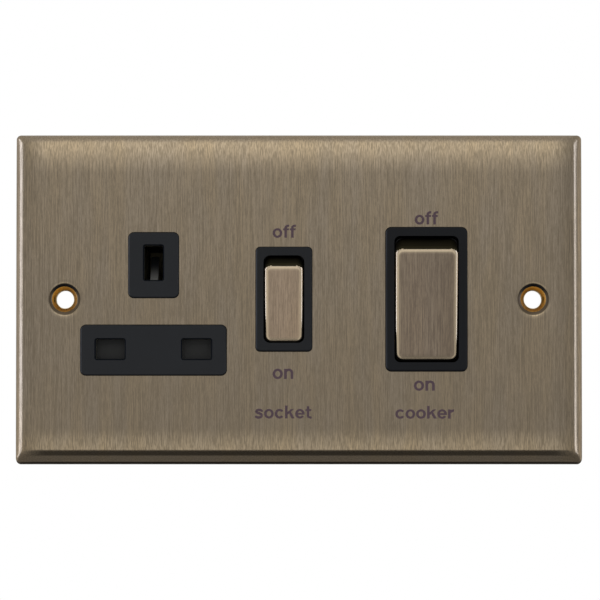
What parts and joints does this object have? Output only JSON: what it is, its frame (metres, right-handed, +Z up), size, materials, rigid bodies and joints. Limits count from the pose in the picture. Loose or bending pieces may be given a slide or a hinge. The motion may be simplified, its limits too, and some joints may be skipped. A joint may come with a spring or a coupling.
{
  "type": "cooker control unit",
  "caption": "Wall-mounted metal plate with a shuttered three-pin socket outlet, its rocker switch and a large double-pole rocker switch.",
  "frame": {"origin": "midway between the two fixing holes, in the plane of the wall that the plate's rim lies on", "axes": "+X to the right seen from the front, +Y into the wall, +Z up"},
  "size_m": [0.146, 0.0356, 0.085],
  "materials": {
    "antique_plate": "vertically brushed antique brass, lacquered",
    "rocker_metal": "brushed antique brass skin",
    "black_moulding": "satin black moulding",
    "base_moulding": "matte dark moulding",
    "contact_brass": "bright raw brass",
    "plated_steel": "zinc plated",
    "white_moulding": "natural white moulding"
  },
  "bodies": {
    "housing": {"front_plate": "antique_plate", "socket_insert": "black_moulding", "socket_switch_frame": "black_moulding", "cooker_switch_frame": "black_moulding", "rear_base": "base_moulding", "rear_cover": "base_moulding", "plate_pillars": "contact_brass", "earth_contact": "contact_brass", "live_contact": "contact_brass", "neutral_contact": "contact_brass", "supply_live_bar": "contact_brass", "supply_neutral_bar": "contact_brass", "load_live_bar": "contact_brass", "load_neutral_bar": "contact_brass", "socket_feed_bar": "contact_brass", "socket_live_bar": "contact_brass", "neutral_link": "contact_brass", "earth_bar": "contact_brass", "supply_live_terminal": "contact_brass", "supply_neutral_terminal": "contact_brass", "load_live_terminal": "contact_brass", "load_neutral_terminal": "contact_brass", "supply_earth_terminal": "contact_brass", "load_earth_terminal": "contact_brass", "assembly_screws": "plated_steel", "terminal_screws": "plated_steel", "shutter_spring": "plated_steel"},
    "socket_rocker": {"socket_rocker": "black_moulding", "socket_rocker_cap": "rocker_metal", "socket_plunger_spring": "plated_steel"},
    "cooker_rocker": {"cooker_rocker": "black_moulding", "cooker_rocker_cap": "rocker_metal", "cooker_live_plunger_spring": "plated_steel", "cooker_neutral_plunger_spring": "plated_steel"},
    "socket_plunger": {"socket_plunger": "white_moulding"},
    "cooker_live_plunger": {"cooker_live_plunger": "white_moulding"},
    "cooker_neutral_plunger": {"cooker_neutral_plunger": "white_moulding"},
    "socket_contact_arm": {"socket_rocking_contact": "contact_brass"},
    "cooker_live_contact_arm": {"cooker_live_rocking_contact": "contact_brass"},
    "cooker_neutral_contact_arm": {"cooker_neutral_rocking_contact": "contact_brass"},
    "shutter": {"shutter": "black_moulding"}
  },
  "joints": [
    {"name": "socket_rocker_hinge", "type": "hinge", "parent": "housing", "child": "socket_rocker", "pos_m": [-0.00387, -0.0003, 0], "axis": [1, 0, 0], "range_deg": [-17.8, 0]},
    {"name": "cooker_rocker_hinge", "type": "hinge", "parent": "housing", "child": "cooker_rocker", "pos_m": [0.0328, 0.0005, 0], "axis": [1, 0, 0], "range_deg": [-17.8, 0]},
    {"name": "socket_plunger_slide", "type": "slide", "parent": "socket_rocker", "child": "socket_plunger", "axis": [0, -0.988, -0.1547], "range_m": [0, 0.001], "stiffness_N_per_m": 200, "springref_m": -0.002, "deforming": ["socket_plunger_spring"]},
    {"name": "socket_contact_rock", "type": "hinge", "parent": "housing", "child": "socket_contact_arm", "pos_m": [-0.00387, 0.0092, 0], "axis": [1, 0, 0], "range_deg": [0, 14.24]},
    {"name": "cooker_live_plunger_slide", "type": "slide", "parent": "cooker_rocker", "child": "cooker_live_plunger", "axis": [0, -0.988, -0.1547], "range_m": [0, 0.001], "stiffness_N_per_m": 200, "springref_m": -0.002, "deforming": ["cooker_live_plunger_spring"]},
    {"name": "cooker_live_contact_rock", "type": "hinge", "parent": "housing", "child": "cooker_live_contact_arm", "pos_m": [0.0278, 0.0125, 0], "axis": [1, 0, 0], "range_deg": [0, 14.24]},
    {"name": "cooker_neutral_plunger_slide", "type": "slide", "parent": "cooker_rocker", "child": "cooker_neutral_plunger", "axis": [0, -0.988, -0.1547], "range_m": [0, 0.001], "stiffness_N_per_m": 200, "springref_m": -0.002, "deforming": ["cooker_neutral_plunger_spring"]},
    {"name": "cooker_neutral_contact_rock", "type": "hinge", "parent": "housing", "child": "cooker_neutral_contact_arm", "pos_m": [0.0378, 0.0125, 0], "axis": [1, 0, 0], "range_deg": [0, 14.24]},
    {"name": "shutter_slide", "type": "slide", "parent": "housing", "child": "shutter", "axis": [0, 0, -1], "range_m": [0, 0.0061], "stiffness_N_per_m": 40, "springref_m": -0.003, "deforming": ["shutter_spring"]}
  ],
  "couplings": [
    {"joint": "socket_contact_rock", "follows": "socket_rocker_hinge", "ratio": -0.8},
    {"joint": "cooker_live_contact_rock", "follows": "cooker_rocker_hinge", "ratio": -0.8},
    {"joint": "cooker_neutral_contact_rock", "follows": "cooker_rocker_hinge", "ratio": -0.8}
  ]
}
